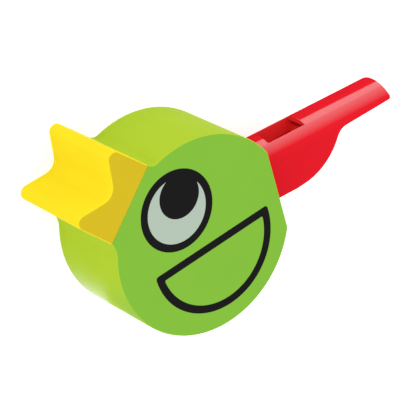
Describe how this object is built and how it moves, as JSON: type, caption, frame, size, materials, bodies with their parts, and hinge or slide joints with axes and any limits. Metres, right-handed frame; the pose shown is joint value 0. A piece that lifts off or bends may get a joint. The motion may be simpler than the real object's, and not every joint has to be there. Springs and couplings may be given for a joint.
{
  "type": "bird whistle",
  "caption": "Toy bird whistle: a round painted wooden body with an open-mouthed beak and printed eye and wing, and a moulded whistle with a loose pea for its tail.",
  "frame": {"origin": "centre of the round body on its back face, on which the whistle lies", "axes": "+X along the whistle to its mouth end, +Y to the bird's top, where the window is, +Z out of the printed front face"},
  "size_m": [0.1148, 0.0691, 0.03],
  "materials": {
    "body_paint": "satin green paint over sanded wood",
    "beak_paint": "satin yellow paint over sanded wood",
    "dowel_wood": "bare turned wood",
    "whistle_plastic": "glossy moulded plastic",
    "pea_cork": "pressed cork",
    "black_ink": "satin printed ink",
    "white_ink": "satin printed ink"
  },
  "bodies": {
    "bird": {"body_block": "body_paint", "beak": "beak_paint", "beak_dowels": "dowel_wood", "whistle_front_half": "whistle_plastic", "whistle_back_half": "whistle_plastic", "front_eye_ink": "black_ink", "front_eye_white": "white_ink", "front_wing_line": "black_ink", "back_eye_ink": "black_ink", "back_eye_white": "white_ink", "back_wing_line": "black_ink"},
    "pea": {"whistle_pea": "pea_cork"}
  },
  "joints": [
    {"name": "pea_slide", "type": "slide", "parent": "bird", "child": "pea", "axis": [1, 0, 0], "range_m": [0, 0.0273]}
  ]
}
